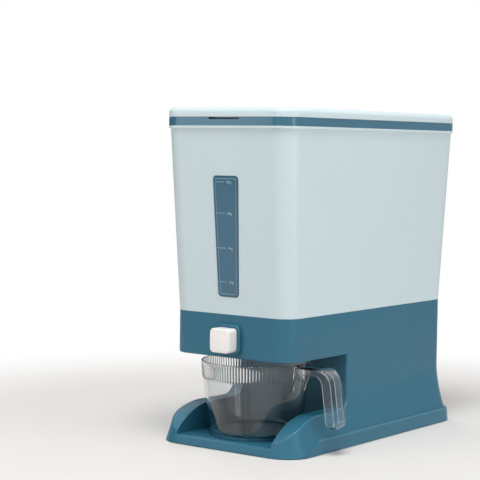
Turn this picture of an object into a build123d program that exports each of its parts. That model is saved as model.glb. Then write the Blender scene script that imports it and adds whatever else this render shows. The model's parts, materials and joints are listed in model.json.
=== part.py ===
"""A free-standing rice bin: a lidded hopper on a base, with a push-button outlet over a measuring cup.

The origin is on the floor, at the centre of the base's footprint. The front faces -Y, +X is the right-hand
side seen from the front, and +Z is up. Lengths are in millimetres and angles in degrees.
"""
import os
from math import atan2, cos, hypot, pi, radians, sin, sqrt, tan

from build123d import *

# Fits and habits shared by several pieces
cut_overrun = 2.0
moving_gap = 0.3
seat_clearance = 0.15
running_clearance = 0.06
thread_clearance = 0.03
root_overlap = 1.0

# Base: outline, walls, flared skirt and plinth
base_w = 169.7
base_d = 351.6
base_r = 22.6
fascia_h = 50.4
base_wall = 2.6
flare_h = 72.0
side_flare = 16.75
end_flare = 11.65
flare_power = 1.6
flare_height_shares = (0.0, 0.2, 0.4, 0.6, 0.8, 1.0)
plinth_h = 17.2
plinth_lean = 1.5
plinth_bevel = 1.6
plinth_fade = 42.0
plinth_front_gap = 14.0

# Cup bay in the base, with an arm on each side and an alcove at the back
bay_h = 107.0
tray_h = 11.0
tray_lip_r = 2.5
arm_h = 43.0
arm_t = 16.45
arm_toe = 0.65
arm_corner_r = 16.0
arm_front_r = 92.0
arm_edge_r = 2.5
alcove_side = 3.4
alcove_depth = 6.0
fascia_edge_r = 1.5
seat_h = 4.0
seat_inset = 3.5

# Feet
foot_r = 8.0
foot_h = 3.0
foot_proud = 0.8
foot_inset = 19.0
foot_boss_r = 11.0
foot_boss_h = 12.5

# Hopper: how far it widens to the top, walls, flange, floor, sump and throat
hopper_lean_w = 6.15
hopper_lean_d = 14.05
hopper_top_r = 23.5
hopper_h = 214.5
hopper_wall = 2.4
flange_lip = 2.0
flange_t = 2.8
tub_gap = 0.4
floor_drop = 4.0
floor_slope = 8.0
sump_margin = 14.85
sump_d = 70.0
tub_rise = 5.6
throat_w = 70.0
throat_d = 8.0

# Level window in the hopper's front wall
window_top_w = 34.5
window_low_w = 27.6
window_h = 138.0
window_rise = 21.1
window_r = 3.5
window_proud = 0.4
window_lip = 4.0
window_lip_t = 1.6

# Collar around the hopper's mouth
lid_overhang = 1.5
lid_r = 23.5
collar_h = 9.7
collar_wall = 2.2
collar_skirt = 8.0
collar_skirt_t = 2.0
collar_gap = 0.8
scoop_w = 44.0
scoop_h = 2.3
scoop_depth = 8.0

# Lid: cover, plug and seal
cover_h = 10.8
cover_wall = 2.2
cover_edge_r = 6.0
plug_gap = 1.2
plug_drop = 7.0
plug_wall = 2.6
seal_h = 3.5
seal_seat = 1.2
seal_proud = 0.8
seal_rise = 2.2

# Lid hinge
hinge_inset = 40.5
hinge_back = 4.5
knuckle_r = 3.9
knuckle_gap = 0.4
lid_knuckle_l = 14.0
collar_knuckle_l = 9.0
hinge_pin_r = 1.5

# Button in the fascia
button_w = 28.0
button_r = 5.0
button_rise = 18.9
button_proud = 19.3
button_travel = 9.0
button_crown_r = 125.0
button_edge_r = 1.6
button_wall = 2.2
button_front_t = 4.4
button_flange = 2.5
button_flange_t = 2.0
button_gap = 0.4
rim_margin = 4.0
rim_proud = 4.0
rim_edge_r = 1.2

# Plunger, spring and gate
rod_r = 3.5
rod_head_r = 8.5
rod_head_t = 2.5
slider_w = 80.0
slider_t = 3.0
slider_lap = 4.0
slider_tab_w = 16.0
slider_tab_h = 12.0
slider_tab_t = 3.0
slider_stop_gap = 0.7
port_margin = 0.2
spring_wire_r = 0.5
spring_coil_r = 5.5
spring_turns = 9
spring_arcs_per_turn = 4

# Outlet chute
chute_wall = 2.4
guide_d = 20.0
guide_t = 2.5
plate_t = 2.5
plate_rear = 20.0
ear_w = 12.0
spout_drop = 2.0
hatch_w = 80.0
hatch_d = 44.0
hatch_lap = 3.0
hatch_t = 2.0
rod_guide_w = 24.0
rod_guide_t = 2.5
rod_guide_rise = 8.0
rod_guide_gap = 1.0

# Screws and the bosses and tabs that take them
screw_r = 1.5
screw_hole_r = 1.9
screw_head_r = 3.2
screw_head_h = 2.2
screw_l = 11.0
screw_boss_r = 4.5
screw_pilot_spare = 1.5
chute_screw_span = 28.0
hopper_tab_inset = 35.8
hopper_tab_reach = 12.0
hopper_tab_l = 14.0
hopper_tab_t = 4.0

# Measuring cup
cup_setback = 51.8
cup_x = 2.0
cup_side_gap = 3.4
cup_back_gap = 10.0
cup_top_gap = 7.0
cup_collar_h = 21.0
cup_collar_lean = 1.6
cup_collar_step = 0.5
cup_taper = 9.3
cup_bottom_r = 6.0
cup_wall = 2.0
handle_w = 26.8
handle_out = 55.5
handle_drop_h = 32.0
handle_top_drop = 0.4
handle_beam_h = 9.5
handle_depth = 11.8
handle_slant = 8.0
handle_bend_r = 22.0
handle_inner_r = 9.0
handle_end_r = 5.0
handle_corner_r = 6.0
handle_wall = 2.5

# Places that follow from the sizes above
base_h = bay_h + fascia_h
hopper_top_w = base_w + 2 * hopper_lean_w
hopper_top_d = base_d + 2 * hopper_lean_d
lid_w = hopper_top_w + 2 * lid_overhang
lid_d = hopper_top_d + 2 * lid_overhang
cup_rim_h = bay_h - cup_top_gap
bay_w = base_w - 2 * arm_t
cup_rim_r = bay_w / 2 - cup_side_gap
cup_collar_low_r = cup_rim_r - cup_collar_lean
cup_low_r = cup_collar_low_r - cup_collar_step - cup_taper
handle_reach = cup_rim_r + handle_out
alcove_w = bay_w - 2 * alcove_side
front_y = -base_d / 2
rear_y = base_d / 2
fascia_in_y = front_y + base_wall
cup_y = front_y + cup_setback
bay_edge_y = cup_y + cup_rim_r + cup_back_gap - alcove_depth
seat_top = tray_h + seat_h
seat_r = cup_low_r - seat_inset
cup_low_z = seat_top + moving_gap
throat_y = cup_y
ceiling_top = bay_h + base_wall
flange_z = base_h + hopper_h
collar_z = flange_z + flange_t
collar_top = collar_z + collar_h
lid_z = collar_top + moving_gap
lid_top = lid_z + cover_h
button_z = ceiling_top + button_rise
button_face_y = front_y - button_proud
slot_low = button_z - slider_t / 2 - moving_gap
slot_high = button_z + slider_t / 2 + moving_gap
guide_low = slot_low - guide_t
guide_high = slot_high + guide_t
tub_z = guide_high + tub_rise
sump_w = base_w - 2 * sump_margin
hopper_tab_y = base_d / 2 - hopper_tab_inset
window_low_z = base_h + window_rise
guide_w = slider_w + 2 * (moving_gap + guide_t)
plate_low = guide_low - plate_t
guide_front_y = throat_y - guide_d / 2
tab_rear_y = guide_front_y - button_travel - slider_stop_gap
tab_front_y = tab_rear_y - slider_tab_t
rod_guide_rear_y = tab_front_y - rod_guide_gap
rod_guide_front_y = rod_guide_rear_y - rod_guide_t
rod_head_y = button_face_y + button_front_t
chute_screw_x = guide_w / 2 + ear_w / 2
hopper_screw_x = base_w / 2 - base_wall - hopper_tab_reach / 2
hinge_x = lid_w / 2 - hinge_inset
hinge_y = lid_d / 2 + hinge_back
hinge_z = collar_top + moving_gap / 2

base_outline = (base_w, base_d, base_r)
hopper_top_outline = (hopper_top_w, hopper_top_d, hopper_top_r)
lid_outline = (lid_w, lid_d, lid_r)


def inset(outline, amount):
    """A rounded rectangle's width, depth and corner radius, drawn in by amount on every side."""
    width, depth, radius = outline
    return width - 2 * amount, depth - 2 * amount, radius - amount


tub_outline = inset(base_outline, base_wall + tub_gap)
mouth_outline = inset(hopper_top_outline, hopper_wall + collar_gap + collar_skirt_t)
plug_outline = inset(mouth_outline, plug_gap)


def slab(outline, low, high):
    """A prism on a rounded rectangle, from height low to height high."""
    return Pos(0, 0, low) * extrude(RectangleRounded(*outline), high - low)


def taper(low_outline, low, high_outline, high):
    """A prism that changes from one rounded rectangle to another."""
    low_face = Pos(0, 0, low) * RectangleRounded(*low_outline)
    high_face = Pos(0, 0, high) * RectangleRounded(*high_outline)
    return loft([low_face, high_face])


def block(x0, x1, y0, y1, z0, z1):
    """A box between two opposite corners."""
    return Pos((x0 + x1) / 2, (y0 + y1) / 2, (z0 + z1) / 2) * Box(x1 - x0, y1 - y0, z1 - z0)


def upright(x, y, low, high, radius):
    """A cylinder along Z."""
    return Pos(x, y, (low + high) / 2) * Cylinder(radius, high - low)


def along_y(x, z, front, rear, radius):
    """A cylinder along Y."""
    return Pos(x, (front + rear) / 2, z) * Rot(X=90) * Cylinder(radius, rear - front)


def along_x(centre, y, z, length, radius):
    """A cylinder along X."""
    return Pos(centre, y, z) * Rot(Y=90) * Cylinder(radius, length)


def side_prism(edges, half_width):
    """A prism along X on an outline drawn in Y and Z."""
    return extrude(Plane.YZ * make_face(edges), half_width, both=True)


def four_places(x, front, rear):
    """The four points (+-x, front) and (+-x, rear)."""
    return [(side * x, y) for y in (front, rear) for side in (-1, 1)]


foot_x = base_w / 2 + side_flare - foot_inset
foot_y = base_d / 2 + end_flare - foot_inset
foot_places = four_places(foot_x, -foot_y, foot_y)
chute_screw_rows = (throat_y - chute_screw_span / 2, throat_y + chute_screw_span / 2)
chute_screw_places = four_places(chute_screw_x, *chute_screw_rows)
hopper_screw_places = four_places(hopper_screw_x, -hopper_tab_y, hopper_tab_y)


def base_outline_at(height, wall):
    """The base's rounded rectangle at a height: it widens below flare_h, as a power of the depth below it."""
    share = max(0.0, 1 - height / flare_h) ** flare_power
    side = side_flare * share - wall
    end = end_flare * share - wall
    return base_w + 2 * side, base_d + 2 * end, base_r + end


def base_block(wall, low, high):
    """The base's outer shape drawn in by wall: the flared part below and the straight part above."""
    heights = [low + share * (flare_h - low) for share in flare_height_shares]
    flared = loft([Pos(0, 0, z) * RectangleRounded(*base_outline_at(max(z, 0), wall)) for z in heights])
    return flared + slab(inset(base_outline, wall), flare_h, high)


def plinth():
    """The band around the foot of the base, which runs out into the front corners."""
    foot = base_outline_at(foot_proud, 0)
    ledge = inset(foot, plinth_lean)
    bevel_z = plinth_h - plinth_bevel
    band = taper(foot, foot_proud, ledge, bevel_z)
    band += taper(ledge, bevel_z, inset(ledge, plinth_bevel), plinth_h)
    reach = base_w / 2 + side_flare + cut_overrun
    fade_front = front_y - end_flare + plinth_front_gap
    far_front = front_y - end_flare - cut_overrun
    high = plinth_h + cut_overrun
    fade_rear = fade_front + plinth_fade * high / plinth_h
    wedge = Polyline((far_front, 0), (fade_front, 0), (fade_rear, high), (far_front, high), close=True)
    return band - side_prism(wedge, reach)


def side_opening(grow):
    """The opening through both sides of the bay, with every face moved outwards by grow."""
    rear = bay_edge_y + grow
    sill = arm_h - grow
    corner = arm_corner_r + grow
    arm_r = arm_front_r - grow
    arc_low = tray_h - grow
    below = arm_h - arm_front_r
    arm_run = sqrt(arm_front_r**2 - (tray_h - below) ** 2)
    flat_end = front_y - end_flare - arm_toe + arm_run
    arc_end = flat_end - sqrt(arm_r**2 - (arc_low - below) ** 2)
    half_turn = atan2(flat_end - arc_end, arc_low - below) / 2
    arc_mid = (flat_end - arm_r * sin(half_turn), below + arm_r * cos(half_turn))
    corner_mid = (rear - corner + corner * sin(pi / 4), sill + corner - corner * cos(pi / 4))
    front = front_y - end_flare - cut_overrun
    edges = [
        Line((rear, bay_h + grow), (rear, sill + corner)),
        ThreePointArc((rear, sill + corner), corner_mid, (rear - corner, sill)),
        Line((rear - corner, sill), (flat_end, sill)),
        ThreePointArc((flat_end, sill), arc_mid, (arc_end, arc_low)),
        Polyline((arc_end, arc_low), (front, arc_low), (front, bay_h + grow), (rear, bay_h + grow)),
    ]
    return side_prism(edges, base_w / 2 + side_flare + cut_overrun)


def bay(grow):
    """The space for the cup: open to the front and sides, with an alcove behind."""
    half = bay_w / 2 + grow
    nook = alcove_w / 2 + grow
    front = front_y - end_flare - cut_overrun
    low = tray_h - grow
    high = bay_h + grow
    room = block(-half, half, front, bay_edge_y + grow, low, high)
    alcove = block(-nook, nook, front, bay_edge_y + alcove_depth + grow, low, high)
    return side_opening(grow) + room + alcove


def button_prism(grow, front, rear):
    """A prism along Y on the button's rounded square, drawn out by grow."""
    plane = Plane(origin=(0, front, button_z), x_dir=(1, 0, 0), z_dir=(0, -1, 0))
    side = button_w + 2 * grow
    return extrude(plane * RectangleRounded(side, side, button_r + grow), -(rear - front))


def button_rim():
    """The raised rim around the button's hole, with a rounded front edge."""
    rim = button_prism(rim_margin, front_y - rim_proud, fascia_in_y)
    return fillet(rim.faces().sort_by(Axis.Y)[0].edges(), rim_edge_r)


def fascia_edges(body):
    """The lower outer edges of the fascia and of the walls over the side openings."""
    level = body.edges().filter_by_position(Axis.Z, bay_h - seat_clearance, bay_h + seat_clearance)
    return [edge for edge in level if edge.center().Y < bay_edge_y - arm_corner_r]


def arm_edges(body):
    """The outer edges of both arms' tops, from the side openings' rear corners to the front."""
    beside = [edge for edge in body.edges() if abs(edge.center().X) > bay_w / 2 + root_overlap]
    along = [edge for edge in beside if edge.bounding_box().size.Y > arm_edge_r / 2]
    low, high = tray_h + seat_clearance, arm_h + arm_corner_r
    return [edge for edge in along if edge.center().Y < bay_edge_y and low < edge.center().Z < high]


def lip_edges(body):
    """The front edge of the tray."""
    level = body.edges().filter_by_position(Axis.Z, tray_h - seat_clearance, tray_h + seat_clearance)
    return [edge for edge in level if edge.center().Y < front_y]


def base_housing():
    """The moulded base, open at the top and underneath, with a round seat for the cup on the tray."""
    body = base_block(0, foot_proud, base_h) - bay(0)
    body = fillet(fascia_edges(body), fascia_edge_r)
    body = fillet(arm_edges(body), arm_edge_r)
    body = fillet(lip_edges(body), tray_lip_r)
    body += plinth() - bay(0)
    hollow = base_block(base_wall, foot_proud - cut_overrun, base_h + cut_overrun) - bay(base_wall)
    housing = body - hollow
    inner_x = base_w / 2 - base_wall
    for x, y in foot_places:
        housing += upright(x, y, foot_h, foot_boss_h, foot_boss_r) & body
    for x, y in chute_screw_places:
        housing += upright(x, y, ceiling_top - root_overlap, plate_low, screw_boss_r)
        housing -= upright(x, y, plate_low - screw_l, plate_low + cut_overrun, screw_r + thread_clearance)
    for x, y in hopper_screw_places:
        side = x / abs(x)
        ends = sorted((side * (inner_x - hopper_tab_reach), side * (inner_x + root_overlap)))
        low = tub_z - hopper_tab_t
        housing += block(*ends, y - hopper_tab_l / 2, y + hopper_tab_l / 2, low, tub_z)
        housing -= upright(x, y, low - cut_overrun, tub_z + cut_overrun, screw_hole_r)
    hatch_front, hatch_rear = throat_y - hatch_d / 2, throat_y + hatch_d / 2
    low, high = bay_h - cut_overrun, ceiling_top + cut_overrun
    housing -= block(-hatch_w / 2, hatch_w / 2, hatch_front, hatch_rear, low, high)
    housing += upright(0, cup_y, tray_h - base_wall, seat_top, seat_r)
    seat_low = tray_h - base_wall - cut_overrun
    housing -= upright(0, cup_y, seat_low, seat_top - base_wall, seat_r - base_wall)
    housing += button_rim()
    return housing - button_prism(button_gap, front_y - rim_proud - cut_overrun, fascia_in_y + cut_overrun)


def foot(x, y):
    """A round rubber pad under one corner."""
    pad = upright(x, y, 0, foot_h, foot_r)
    return chamfer(pad.edges().group_by(Axis.Z)[0], foot_proud / 2)


def window_plane():
    """The hopper's front wall at the window's centre, with x across, y up the wall and z outwards."""
    lean_y = (base_d - hopper_top_d) / 2
    wall_up = Vector(0, lean_y, hopper_h).normalized()
    middle = window_low_z + window_h / 2
    y = front_y + lean_y * (middle - base_h) / hopper_h
    return Plane(origin=(0, y, middle), x_dir=(1, 0, 0), z_dir=Vector(1, 0, 0).cross(wall_up))


def window_pane(grow, inner, outer):
    """A plate on the window's outline, drawn out by grow, from depth inner to height outer on the wall."""
    half_h = window_h / 2 + grow
    top = window_top_w / 2 + grow
    low = window_low_w / 2 + grow
    corners = [(-low, -half_h), (low, -half_h), (top, half_h), (-top, half_h)]
    face = make_face(FilletPolyline(*corners, radius=window_r + grow, close=True))
    return extrude(window_plane().offset(inner) * face, outer - inner)


def wall_depth():
    """The thickness of the hopper's front wall, measured square to its face."""
    return hopper_wall * hopper_h / hypot(hopper_h, (hopper_top_d - base_d) / 2)


def level_window():
    """The clear strip: a pane that fills the slot, with a lip behind the wall."""
    pane = window_pane(0, -wall_depth() - window_lip_t, window_proud)
    lip = window_pane(window_lip, -wall_depth() - window_lip_t, -wall_depth())
    return pane + lip


def floor_profile(drop):
    """The line of the hopper's floor in Y and Z, lowered by drop: level in front, then rising to the rear."""
    low = base_h - floor_drop - drop
    far = rear_y + hopper_top_d
    bend = throat_y + sump_d / 2
    return (-far, low), (bend, low), (far, low + (far - bend) * tan(radians(floor_slope)))


def sump(grow):
    """The funnel between the floor and the throat, with every face moved outwards by grow."""
    top = Pos(0, throat_y, base_h - floor_drop) * Rectangle(sump_w + 2 * grow, sump_d + 2 * grow)
    throat = Pos(0, throat_y, tub_z) * Rectangle(throat_w + 2 * grow, throat_d + 2 * grow)
    return loft([throat, top])


def hopper():
    """The grain bin: tapered walls, flange, sloped floor with a sump, and a skirt that sits in the base."""
    inside_low = inset(base_outline, hopper_wall)
    inside_top = inset(hopper_top_outline, hopper_wall)
    reach = hopper_top_w / 2 + cut_overrun
    body = taper(base_outline, base_h, hopper_top_outline, flange_z)
    body += slab(inset(hopper_top_outline, -flange_lip), flange_z, collar_z)
    step_z = base_h + hopper_wall
    body += slab(tub_outline, tub_z, step_z)
    room = taper(inside_low, base_h, inside_top, flange_z) - slab(base_outline, base_h - cut_overrun, step_z)
    room += slab(inside_top, flange_z, collar_z + cut_overrun)
    room += slab(inset(tub_outline, hopper_wall), tub_z - cut_overrun, step_z)
    front, bend, rear = floor_profile(0)
    high = collar_z + cut_overrun + rear[1]
    lid_line = (rear[0], high), (front[0], high)
    above = side_prism(Polyline(front, bend, rear, *lid_line, close=True), reach)
    front, bend, rear = floor_profile(hopper_wall)
    low = tub_z - 2 * cut_overrun
    foot_line = (rear[0], low), (front[0], low)
    below = side_prism(Polyline(front, bend, rear, *foot_line, close=True), reach)
    under = (room & below) - sump(hopper_wall)
    for x, y in hopper_screw_places:
        under -= upright(x, y, tub_z - cut_overrun, flange_z, screw_boss_r)
    body = body - (room & above) - under - sump(0)
    for x, y in hopper_screw_places:
        pilot = tub_z + screw_l - hopper_tab_t + screw_pilot_spare
        body -= upright(x, y, tub_z - cut_overrun, pilot, screw_r + thread_clearance)
    notch = button_w / 2 + button_flange + cut_overrun
    notch_top = button_z + notch
    skirt_in_y = fascia_in_y + tub_gap + hopper_wall
    body -= block(-notch, notch, front_y, skirt_in_y + cut_overrun, tub_z - cut_overrun, notch_top)
    return body - window_pane(seat_clearance, -wall_depth() - cut_overrun, cut_overrun)


def outlet_chute():
    """The spout with a flange over the bay's hatch, and the gate's guide on a plate on the base's bosses."""
    half_w = throat_w / 2 + chute_wall
    half_d = throat_d / 2 + chute_wall
    body = block(-half_w, half_w, throat_y - half_d, throat_y + half_d, bay_h - spout_drop, tub_z)
    body += block(-guide_w / 2, guide_w / 2, guide_front_y, throat_y + guide_d / 2, guide_low, guide_high)
    cover_half = hatch_w / 2 + hatch_lap
    cover_front, cover_rear = throat_y - hatch_d / 2 - hatch_lap, throat_y + hatch_d / 2 + hatch_lap
    cover_low = ceiling_top + seat_clearance
    body += block(-cover_half, cover_half, cover_front, cover_rear, cover_low, cover_low + hatch_t)
    plate_half = guide_w / 2 + ear_w
    body += block(-plate_half, plate_half, rod_guide_front_y, throat_y + plate_rear, plate_low, guide_low)
    half_guide = rod_guide_w / 2
    guide_top = button_z + rod_guide_rise
    body += block(-half_guide, half_guide, rod_guide_front_y, rod_guide_rear_y, plate_low, guide_top)
    throat_front, throat_rear = throat_y - throat_d / 2, throat_y + throat_d / 2
    low, high = bay_h - spout_drop - cut_overrun, tub_z + cut_overrun
    body -= block(-throat_w / 2, throat_w / 2, throat_front, throat_rear, low, high)
    slot_half = slider_w / 2 + moving_gap
    slot_front, slot_rear = guide_front_y - cut_overrun, throat_y + guide_d / 2 + cut_overrun
    body -= block(-slot_half, slot_half, slot_front, slot_rear, slot_low, slot_high)
    bore_front, bore_rear = rod_guide_front_y - cut_overrun, rod_guide_rear_y + cut_overrun
    body -= along_y(0, button_z, bore_front, bore_rear, rod_r + running_clearance)
    for x, y in chute_screw_places:
        body -= upright(x, y, plate_low - cut_overrun, guide_low + cut_overrun, screw_hole_r)
    return body


def gate_slider():
    """The gate plate: its port lies in front of the throat at rest, and under it when pressed in."""
    low = button_z - slider_t / 2
    high = button_z + slider_t / 2
    rear = throat_y + throat_d / 2 + slider_lap
    body = block(-slider_w / 2, slider_w / 2, tab_front_y, rear, low, high)
    tab_low, tab_high = button_z - slider_tab_h / 2 + guide_t, button_z + slider_tab_h / 2
    body += block(-slider_tab_w / 2, slider_tab_w / 2, tab_front_y, tab_rear_y, tab_low, tab_high)
    port_y = throat_y - button_travel
    port_half = throat_d / 2 + port_margin
    port_ends = (port_y - port_half, port_y + port_half)
    return body - block(-throat_w / 2, throat_w / 2, *port_ends, low - cut_overrun, high + cut_overrun)


def push_rod():
    """The plunger: a round head inside the button and a rod that ends on the gate's tab."""
    head = along_y(0, button_z, rod_head_y, rod_head_y + rod_head_t, rod_head_r)
    return head + along_y(0, button_z, rod_head_y, tab_front_y, rod_r)


def button_cap():
    """The button: a crowned face, a hollow back and a flange that keeps it behind the fascia."""
    flange_front = fascia_in_y + moving_gap
    rear = flange_front + button_flange_t
    crown = Pos(0, button_face_y + button_crown_r, button_z) * Sphere(button_crown_r)
    body = button_prism(0, button_face_y, rear) & crown
    body = fillet(body.faces().sort_by(Axis.Y)[0].edges(), button_edge_r)
    body += button_prism(button_flange, flange_front, rear)
    return body - button_prism(-button_wall, rod_head_y, rear + cut_overrun)


def helix_path(radius, length, turns, start):
    """A helix along Y, drawn as pairs of arcs that share their tangent, each pair over part of a turn."""
    rise = length / (2 * pi * turns)

    def point(angle):
        return Vector(radius * cos(angle), rise * angle, radius * sin(angle)) + start

    def heading(angle):
        return Vector(-radius * sin(angle), rise, radius * cos(angle)).normalized()

    steps = turns * spring_arcs_per_turn
    arcs = []
    for step in range(steps):
        first, last = 2 * pi * turns * step / steps, 2 * pi * turns * (step + 1) / steps
        span = point(last) - point(first)
        lean = span.dot(heading(first) + heading(last))
        spread = 2 * (1 - heading(first).dot(heading(last)))
        reach = (sqrt(lean**2 + spread * span.dot(span)) - lean) / spread
        corner = point(first) + heading(first) * reach
        far_corner = point(last) - heading(last) * reach
        joint = (corner + far_corner) / 2
        arcs.append(TangentArc(point(first), joint, tangent=heading(first)))
        arcs.append(TangentArc(joint, point(last), tangent=far_corner - corner))
    return Wire(arcs), Plane(origin=point(0), z_dir=heading(0))


def return_spring():
    """The coil spring between the plunger's head and the chute's rod guide."""
    front = rod_head_y + rod_head_t + moving_gap + spring_wire_r
    rear = rod_guide_front_y - moving_gap - spring_wire_r
    path, start = helix_path(spring_coil_r, rear - front, spring_turns, Vector(0, front, button_z))
    print("least gap between turns:", round((rear - front) / spring_turns - 2 * spring_wire_r, 2))
    return sweep(start * Circle(spring_wire_r), path=path)


def screws(places, head_z, up):
    """Pan-head screws at the given places; up is 1 if they point upwards and -1 if downwards."""
    body = Part()
    for x, y in places:
        shank = sorted((head_z, head_z + up * screw_l))
        head = sorted((head_z, head_z - up * screw_head_h))
        body += upright(x, y, *shank, screw_r) + upright(x, y, *head, screw_head_r)
    return body


def knuckle(centre, length, low, high, root_y):
    """A hinge knuckle around the hinge axis, with a web from height low to height high."""
    half = length / 2
    body = along_x(centre, hinge_y, hinge_z, length, knuckle_r)
    return body + block(centre - half, centre + half, root_y, hinge_y, low, high)


def knuckle_bore(clearance):
    """The bores for both hinge pins."""
    length = lid_knuckle_l + 2 * (collar_knuckle_l + knuckle_gap + cut_overrun)
    radius = hinge_pin_r + clearance
    return [along_x(side * hinge_x, hinge_y, hinge_z, length, radius) for side in (-1, 1)]


def lid_collar():
    """The band around the mouth: it stands on the hopper's flange, and its skirt drops inside the hopper."""
    skirt_outline = inset(mouth_outline, -collar_skirt_t)
    body = slab(lid_outline, collar_z, collar_top) + slab(skirt_outline, collar_z - collar_skirt, collar_z)
    groove = slab(inset(lid_outline, collar_wall), collar_z - collar_skirt, collar_top - collar_wall)
    body -= groove - slab(skirt_outline, collar_z - collar_skirt, collar_top)
    body -= slab(mouth_outline, collar_z - collar_skirt - cut_overrun, collar_top + cut_overrun)
    scoop_front, scoop_rear = -lid_d / 2 - cut_overrun, -lid_d / 2 + scoop_depth
    scoop_low, scoop_high = collar_top - scoop_h, collar_top + cut_overrun
    body -= block(-scoop_w / 2, scoop_w / 2, scoop_front, scoop_rear, scoop_low, scoop_high)
    root_y = lid_d / 2 - root_overlap
    offset = (lid_knuckle_l + collar_knuckle_l) / 2 + knuckle_gap
    for side in (-1, 1):
        for end in (-1, 1):
            centre = side * hinge_x + end * offset
            body += knuckle(centre, collar_knuckle_l, hinge_z - knuckle_r, collar_top, root_y)
    for bore in knuckle_bore(thread_clearance):
        body -= bore
    return body


def lid_cover():
    """The lid's outer shell, with rounded top edges and the lid's hinge knuckles."""
    shell = slab(lid_outline, lid_z, lid_top)
    shell = fillet(shell.faces().sort_by(Axis.Z)[-1].edges(), cover_edge_r)
    shell -= slab(inset(lid_outline, cover_wall), lid_z - cut_overrun, lid_top - cover_wall)
    root_y = lid_d / 2 - root_overlap
    for side in (-1, 1):
        shell += knuckle(side * hinge_x, lid_knuckle_l, lid_z, hinge_z + knuckle_r, root_y)
    for bore in knuckle_bore(running_clearance):
        shell -= bore
    return shell


def lid_liner():
    """The plug under the lid: a tray whose rim meets the cover's underside, with a groove for the seal."""
    low = lid_z - plug_drop
    high = lid_top - cover_wall
    tray = slab(plug_outline, low, high)
    tray -= slab(inset(plug_outline, plug_wall), low + plug_wall, high + cut_overrun)
    return tray - seal_ring()


def seal_ring():
    """The ring in the plug's groove, which stands a little proud of the plug."""
    low = lid_z - plug_drop + seal_rise
    ring = slab(inset(plug_outline, -seal_proud), low, low + seal_h)
    return ring - slab(inset(plug_outline, seal_seat), low - cut_overrun, low + seal_h + cut_overrun)


def hinge_pin(side):
    """The steel pin through one hinge's three knuckles."""
    length = lid_knuckle_l + 2 * (collar_knuckle_l + knuckle_gap)
    return along_x(side * hinge_x, hinge_y, hinge_z, length, hinge_pin_r)


def cup_body(grow):
    """The cup's round body: flat bottom, rounded corner, tapered wall and wider collar."""
    low = cup_low_z - grow
    step_z = cup_rim_h - cup_collar_h - grow
    spread = cup_taper / (cup_rim_h - cup_collar_h - cup_low_z)
    flare = cup_collar_lean / cup_collar_h
    points = [
        (0, low),
        (cup_low_r + grow + spread * (low - cup_low_z), low),
        (cup_low_r + grow + spread * (step_z - cup_low_z), step_z),
        (cup_collar_low_r + grow - flare * grow, step_z),
        (cup_rim_r + grow, cup_rim_h),
        (0, cup_rim_h),
    ]
    radii = [0, cup_bottom_r + grow, 0, 0, 0, 0]
    face = make_face(FilletPolyline(*points, radius=radii, close=True))
    return Pos(cup_x, cup_y, 0) * revolve(Plane.XZ * face, Axis.Z)


def handle_profile(grow, overreach):
    """The hooked handle in X and Z: grow draws its outer side in, and overreach moves its inner side."""
    top = cup_rim_h - handle_top_drop - grow
    under = cup_rim_h - handle_top_drop - handle_beam_h - overreach
    end = handle_drop_h + grow
    lean = tan(radians(handle_slant))
    thick = (handle_depth + overreach) / cos(radians(handle_slant))
    edge = grow / cos(radians(handle_slant))
    root = cup_collar_low_r
    outer_end = handle_reach - edge - lean * grow
    outer_top = handle_reach - edge - lean * (top - handle_drop_h)
    inner_end = handle_reach - thick - lean * (end - handle_drop_h)
    inner_top = handle_reach - thick - lean * (under - handle_drop_h)
    outer = [(root, top), (outer_top, top), (outer_end, end)]
    inner = [(inner_end, end), (inner_top, under), (root, under)]
    radii = [0, handle_bend_r - grow, handle_end_r - grow, handle_end_r - grow, handle_inner_r, 0]
    return Plane.XZ * make_face(FilletPolyline(*outer, *inner, radius=radii, close=True))


def handle_front(grow):
    """A block along X whose end, seen from the side, has the handle's rounded corners, drawn in by grow."""
    half = handle_w / 2 - grow
    end = handle_drop_h + grow
    high = cup_rim_h + cut_overrun
    radius = handle_corner_r - grow
    corners = [(-half, high), (-half, end), (half, end), (half, high)]
    face = make_face(FilletPolyline(*corners, radius=[0, radius, radius, 0], close=True))
    return extrude(Plane.YZ * face, handle_reach + cut_overrun)


def measuring_cup():
    """The clear cup with its hooked handle, a channel that is open towards the cup."""
    outer = extrude(handle_profile(0, 0), handle_w / 2, both=True) & handle_front(0)
    inner = extrude(handle_profile(handle_wall, handle_wall), handle_w / 2, both=True)
    handle = Pos(cup_x, cup_y, 0) * (outer - (inner & handle_front(handle_wall)))
    mouth = upright(cup_x, cup_y, cup_rim_h, cup_rim_h + cut_overrun, cup_rim_r - cup_wall)
    hollow = cup_body(-cup_wall) + mouth
    return cup_body(0) + handle - hollow


def all_pieces():
    """Every piece by its name."""
    pieces = {
        "base_housing": base_housing(),
        "hopper": hopper(),
        "level_window": level_window(),
        "outlet_chute": outlet_chute(),
        "chute_screws": screws(chute_screw_places, guide_low, -1),
        "hopper_screws": screws(hopper_screw_places, tub_z - hopper_tab_t, 1),
        "gate_slider": gate_slider(),
        "push_rod": push_rod(),
        "button_cap": button_cap(),
        "return_spring": return_spring(),
        "lid_collar": lid_collar(),
        "hinge_pin_left": hinge_pin(-1),
        "hinge_pin_right": hinge_pin(1),
        "lid_cover": lid_cover(),
        "lid_liner": lid_liner(),
        "lid_seal": seal_ring(),
        "measuring_cup": measuring_cup(),
    }
    for end, y in (("front", -foot_y), ("rear", foot_y)):
        for side, x in (("left", -foot_x), ("right", foot_x)):
            pieces[f"foot_{end}_{side}"] = foot(x, y)
    return pieces


os.makedirs("parts", exist_ok=True)
for name, piece in all_pieces().items():
    export_step(piece, f"parts/{name}.step")
    print(name, round(piece.volume, 1))
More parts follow.
